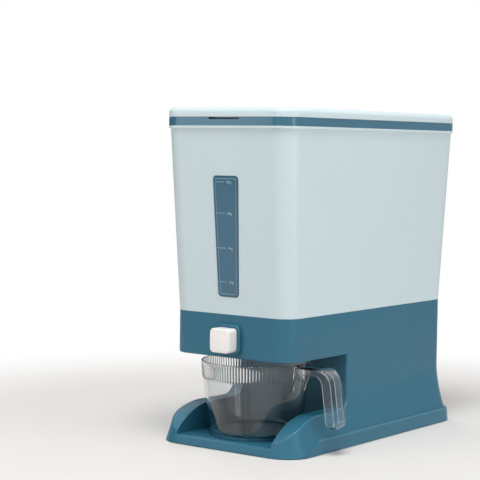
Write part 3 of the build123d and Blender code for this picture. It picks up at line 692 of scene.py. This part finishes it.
def cup_handle():
    """The channel carried along the hook's outer line. At length s the section stands square to the line,
    with depth d(s): deep at the root, the beam's depth, then the drop's. Round corners draw it in at the
    end, where the channel is shut, and at the root it is cut to the collar's round."""
    line, along = handle_line()
    bend_start, bend_end, total = along[1], along[-2], along[-1]
    stations = handle_stations(bend_start, bend_end, total)
    place = np.stack([np.interp(stations, along, line[:, axis]) for axis in (0, 1)], axis=1)
    heading = np.gradient(place, stations, axis=0)
    heading /= np.linalg.norm(heading, axis=1)[:, None]
    inward = np.stack([heading[:, 1], -heading[:, 0]], axis=1)
    gusset = GUSSET_DEPTH * (1 - smooth_step(stations, RIM_R - collar_r, RIM_R - collar_r + GUSSET_LENGTH))
    depth = HANDLE_BEAM + gusset + (HANDLE_DEPTH - HANDLE_BEAM) * smooth_step(stations, bend_start, bend_end)
    draw = drawn_in(stations, total, HANDLE_END_R)
    section, kinds = handle_section()
    across, inset = section[:, 0], section[:, 1]
    squeeze = ((depth - 2 * draw) / depth)[:, None]
    outer = draw[:, None] + inset * squeeze
    tips = (depth - draw)[:, None] - (HANDLE_BEAM - inset) * squeeze
    channel = draw[:, None] + inset * np.ones_like(squeeze)
    sunk = np.select([kinds == WEB, kinds == TIP], [outer, tips], channel)
    shut = (stations > total - HANDLE_WALL)[:, None] & (np.abs(across) < HANDLE_W / 2 - HANDLE_WALL / 2)
    sunk = np.where(shut & (kinds != WEB), (depth - draw)[:, None], sunk)
    x = place[:, :1] + inward[:, :1] * sunk
    z = place[:, 1:] + inward[:, 1:] * sunk
    x[0] = np.sqrt((collar_radius(z[0]) - ROOT_SINK) ** 2 - across ** 2)
    taken = drawn_in(stations, total, HANDLE_CORNER_R)
    y = CUP_Y + across * (1 - taken / (HANDLE_W / 2))[:, None]
    points = np.stack([CUP_X + x, y, z], axis=-1)
    return solid_mesh("cup_handle", points.reshape(-1, 3), grid_faces(len(stations), len(across)))


handle = cup_handle()
print("cup handle:", len(handle.data.vertices), "points")

# %% Cup wall fins
FIN_W = 1.8
FIN_EDGE_SHARE = 0.3
FIN_EDGE_STEPS = 4
FIN_ROWS = 43
# The fin's outer line, from foot to handle: heights, and distances in x from the cup's axis
FIN_Z = (68.0, 72.0, 76.0, 80.0, 84.0, 88.0, 92.0)
FIN_X = (61.3, 62.6, 64.0, 65.8, 68.2, 72.0, 79.0)


def wall_fin(side):
    """A thin rib under one flange of the handle: a rounded strip from inside the bowl's wall to an outer
    line, which leaves the wall at the foot, runs nearly upright and flares out into the handle."""
    across = side * (HANDLE_W / 2 - HANDLE_WALL / 2)
    height = np.linspace(FIN_Z[0], FIN_Z[-1], FIN_ROWS)
    wall = np.where(height < collar_z, bowl_radius(height), collar_radius(height))
    corners = [(0, -0.5), (1, -0.5), (1, 0.5), (0, 0.5)]
    share = rounded(corners, [0, FIN_EDGE_SHARE, FIN_EDGE_SHARE, 0], True, FIN_EDGE_STEPS)
    inner = np.sqrt((wall - CUP_WALL / 2) ** 2 - across ** 2)[:, None]
    outer = np.interp(height, FIN_Z, FIN_X)[:, None]
    x = inner + (outer - inner) * share[:, 0]
    y = np.broadcast_to(CUP_Y + across + FIN_W * share[:, 1], x.shape)
    z = np.broadcast_to(height[:, None], x.shape)
    points = np.stack([CUP_X + x, y, z], axis=-1)
    return solid_mesh("cup_fin", points.reshape(-1, 3), grid_faces(len(height), len(share)))


fins = [wall_fin(side) for side in (-1, 1)]
united(cup, [handle] + fins)
dress(cup, "cup", clear)
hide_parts("measuring_cup")

# %% [markdown]
# ## The level window
# The strip in the hopper's front shows how much rice is left. Round it runs a dark ring of painted shade,
# which stands for the shade in the groove round the window. The strip has a thin bead near its edge, and
# carries level lines with numbers. All of these lie on the leaning front wall, so one function carries flat
# points, across and up, onto that wall.

# %% Window wall
BASE_FRONT_Y = -175.8
BASE_TOP_Z = 157.4
HOPPER_H = 214.5
HOPPER_LEAN = 14.05
window_low, window_high = (np.array(corner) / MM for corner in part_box("level_window"))
WINDOW_Z = (window_low[2] + window_high[2]) / 2

wall_up = np.array([0.0, -HOPPER_LEAN, HOPPER_H])
wall_up /= np.linalg.norm(wall_up)
wall_out = np.cross([1.0, 0.0, 0.0], wall_up)
window_middle = np.array([0.0, BASE_FRONT_Y - HOPPER_LEAN * (WINDOW_Z - BASE_TOP_Z) / HOPPER_H, WINDOW_Z])


def on_wall(across, rise, proud):
    """Points on the front wall: middle + across in X + rise up the wall + proud out of it."""
    across, rise, proud = np.broadcast_arrays(across, rise, proud)
    flat = across[..., None] * np.array([1.0, 0.0, 0.0])
    return window_middle + flat + rise[..., None] * wall_up + proud[..., None] * wall_out


print("window middle:", window_middle.round(2))

# %% Window bead and painted groove shade
WINDOW_H = 138.0
WINDOW_TOP_W = 34.5
WINDOW_LOW_W = 27.6
WINDOW_R = 3.5
WINDOW_PROUD = 0.4
RING_LEAST_R = 0.5
RING_CORNER_STEPS = 10
RING_POINTS = 9
# Where the painted groove shade lies: its inset, width and low and high sides
GROOVE_SHADE_INSET = -0.45
GROOVE_SHADE_W = 1.5
GROOVE_SHADE_LOW = -0.3
GROOVE_SHADE_HIGH = 0.55
BEAD_INSET = 2.3
BEAD_W = 0.7
BEAD_SUNK = 0.1
BEAD_H = 0.3


def window_ring(name, inset, width, low, high, finish):
    """A low round bead along the window's outline, drawn in by inset: at each point of the outline a half
    ellipse of the given width stands across the line, from height low to height high."""
    half_h = WINDOW_H / 2 - inset
    top = WINDOW_TOP_W / 2 - inset
    bottom = WINDOW_LOW_W / 2 - inset
    corners = [(-bottom, -half_h), (bottom, -half_h), (top, half_h), (-top, half_h)]
    line = rounded(corners, [max(WINDOW_R - inset, RING_LEAST_R)] * 4, True, RING_CORNER_STEPS)
    ahead = np.roll(line, -1, axis=0) - np.roll(line, 1, axis=0)
    ahead /= np.linalg.norm(ahead, axis=1)[:, None]
    outward = np.stack([ahead[:, 1], -ahead[:, 0]], axis=1)
    turn = np.linspace(0, math.pi, RING_POINTS)
    side = np.append(width / 2 * np.cos(turn), 0)
    rise = np.append(low + (high - low) * np.sin(turn), low)
    place = line[:, None, :] + outward[:, None, :] * side[None, :, None]
    points = on_wall(place[..., 0], place[..., 1], rise[None, :])
    loop = np.concatenate([points, points[:1]])
    ring = solid_mesh(name, loop.reshape(-1, 3), grid_faces(len(loop), len(turn) + 1))
    dress(ring, "base", finish)


# The dark ring is painted shade: a raised dark blue strip where the groove round the window falls into shade.
groove_shade_paint = moulded_plastic("painted_groove_shade_dark_blue", "#2C4D60", "#284859",
                         rough=0.6, grain_mm=0.4, depth_mm=0.01, ior=RUBBER_IOR)
pale_bead = moulded_plastic("pale_bead_styrene", "#6F97AD", "#6991A8",
                            rough=0.3, grain_mm=0.3, depth_mm=0.004, ior=STYRENE_IOR)
# The painted groove shade round the window, then the pale bead.
window_ring("window_painted_groove_shade", GROOVE_SHADE_INSET, GROOVE_SHADE_W, GROOVE_SHADE_LOW, GROOVE_SHADE_HIGH, groove_shade_paint)
window_ring("window_bead", BEAD_INSET, BEAD_W, WINDOW_PROUD - BEAD_SUNK, WINDOW_PROUD + BEAD_H, pale_bead)

# %% Level lines and numbers
LEVELS = {"8kg": 310.4, "6kg": 274.5, "4kg": 234.3, "2kg": 195.1}
LINE_LEFT = -14.0
LINE_RIGHT = -1.6
LINE_W = 0.55
LINE_END_SHARE = 0.98
LINE_END_STEPS = 5
PRINT_H = 0.12
NUMBER_LEFT = 1.6
NUMBER_SIZE = 4.6


def level_line(height):
    """A flat bar with round ends on the pane, lofted from just inside its face to the print's thickness."""
    half = LINE_W / 2
    corners = [(LINE_LEFT, -half), (LINE_RIGHT, -half), (LINE_RIGHT, half), (LINE_LEFT, half)]
    outline = rounded(corners, [half * LINE_END_SHARE] * 4, True, LINE_END_STEPS)
    rise = (height - WINDOW_Z) / wall_up[2] + outline[:, 1]
    layers = np.array([WINDOW_PROUD - PRINT_H, WINDOW_PROUD + PRINT_H])
    return on_wall(outline[None, :, 0], rise[None, :], layers[:, None]), grid_faces(len(layers), len(outline))


def level_number(words, height):
    """The words as a thin flat solid: Blender's letters, scaled to millimetres and carried to the pane."""
    letters = bpy.data.curves.new(words, "FONT")
    letters.body = words
    letters.size = NUMBER_SIZE
    letters.align_y = "CENTER"
    letters.extrude = PRINT_H
    holder = bpy.data.objects.new(words, letters)
    mesh = bpy.data.meshes.new_from_object(holder)
    flat = np.empty(3 * len(mesh.vertices))
    mesh.vertices.foreach_get("co", flat)
    flat = flat.reshape(-1, 3)
    faces = [tuple(face.vertices) for face in mesh.polygons]
    bpy.data.objects.remove(holder)
    rise = (height - WINDOW_Z) / wall_up[2]
    return on_wall(NUMBER_LEFT + flat[:, 0], rise + flat[:, 1], WINDOW_PROUD + flat[:, 2]), faces


for number, height in LEVELS.items():
    line_points, line_faces = level_line(height)
    line_piece = solid_mesh("level_line_" + number, line_points.reshape(-1, 3), line_faces)
    dress(line_piece, "base", print_ink)
    number_points, number_faces = level_number(number, height)
    number_mesh = bpy.data.meshes.new("level_number_" + number)
    number_mesh.from_pydata((number_points * MM).tolist(), [], number_faces)
    number_piece = placed(number_mesh.name, number_mesh)
    dress(number_piece, "base", print_ink)

# %% [markdown]
# ## The return spring
# Behind the button, a coil of spring wire pushes the plunger back. When the button goes in, the coil gets
# shorter, which a rigid solid can't do. So the coil is made here, with a mesh of its own.

# %% Spring
SPRING_TURNS = 9
SPRING_WIRE_R = 0.5
POINTS_PER_TURN = 36
POINTS_PER_WIRE = 10
spring_low, spring_high = (np.array(corner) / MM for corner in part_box("return_spring"))
SPRING_R = (spring_high[0] - spring_low[0]) / 2 - SPRING_WIRE_R
spring_x = (spring_low[0] + spring_high[0]) / 2
spring_z = (spring_low[2] + spring_high[2]) / 2


def spring_coil():
    """A round section carried along a helix: at turn a the middle is (R cos a, y, R sin a), where y grows
    evenly with a, and the section's circle lies along the radius and the spring's axis."""
    turn = np.linspace(0, 2 * math.pi * SPRING_TURNS, SPRING_TURNS * POINTS_PER_TURN + 1)
    front = spring_low[1] + SPRING_WIRE_R
    rear = spring_high[1] - SPRING_WIRE_R
    middle_y = np.interp(turn, [0, turn[-1]], [front, rear])
    around = np.arange(POINTS_PER_WIRE) * 2 * math.pi / POINTS_PER_WIRE
    radius = SPRING_R + SPRING_WIRE_R * np.cos(around)[None, :]
    y = middle_y[:, None] + SPRING_WIRE_R * np.sin(around)[None, :]
    x = spring_x + radius * np.cos(turn)[:, None]
    z = spring_z + radius * np.sin(turn)[:, None]
    points = np.stack([x, y, z], axis=-1)
    return solid_mesh("button_spring", points.reshape(-1, 3), grid_faces(len(turn), len(around)))


spring = spring_coil()
dress(spring, "base", wire)
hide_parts("return_spring")
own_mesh(spring)

# %% [markdown]
# ## Moulded edges
# No edge of a moulding is truly sharp: the mould's own corners leave a radius of about half a millimetre,
# and it is this narrow round that catches the light. Merged copies of the solids get it by a bevel.

# %% Soft edges
EDGE_MM = {"base_housing": 0.8, "hopper": 0.5, "lid_cover": 0.5, "button_cap": 0.4}
EDGE_STEPS = 3
EDGE_ANGLE = math.radians(28)
FLAT_ANGLE = math.radians(0.4)
SAME_CORNER_M = 1e-6
body_of = {node: body for body, nodes in frame["record"]["behaviour"]["bodies"].items() for node in nodes}


def soft_copy(node_name, width):
    """A copy of a solid with its loose triangles merged into flat faces and its sharp edges rounded."""
    node = frame["nodes"][node_name]
    shape = bmesh.new()
    shape.from_mesh(node.data)
    bmesh.ops.remove_doubles(shape, verts=shape.verts, dist=SAME_CORNER_M)
    bmesh.ops.dissolve_limit(shape, angle_limit=FLAT_ANGLE, verts=shape.verts, edges=shape.edges)
    mesh = bpy.data.meshes.new(node_name + "_soft")
    shape.to_mesh(mesh)
    shape.free()
    made = placed(mesh.name, mesh)
    dress(made, body_of[node_name], node.material_slots[0].material)
    made.data.set_sharp_from_angle(angle=EDGE_ANGLE)
    edge = made.modifiers.new("edge", "BEVEL")
    edge.width = width * MM
    edge.segments = EDGE_STEPS
    edge.limit_method = "ANGLE"
    edge.angle_limit = EDGE_ANGLE
    edge.harden_normals = True
    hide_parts(node_name)


for node_name, width in EDGE_MM.items():
    soft_copy(node_name, width)
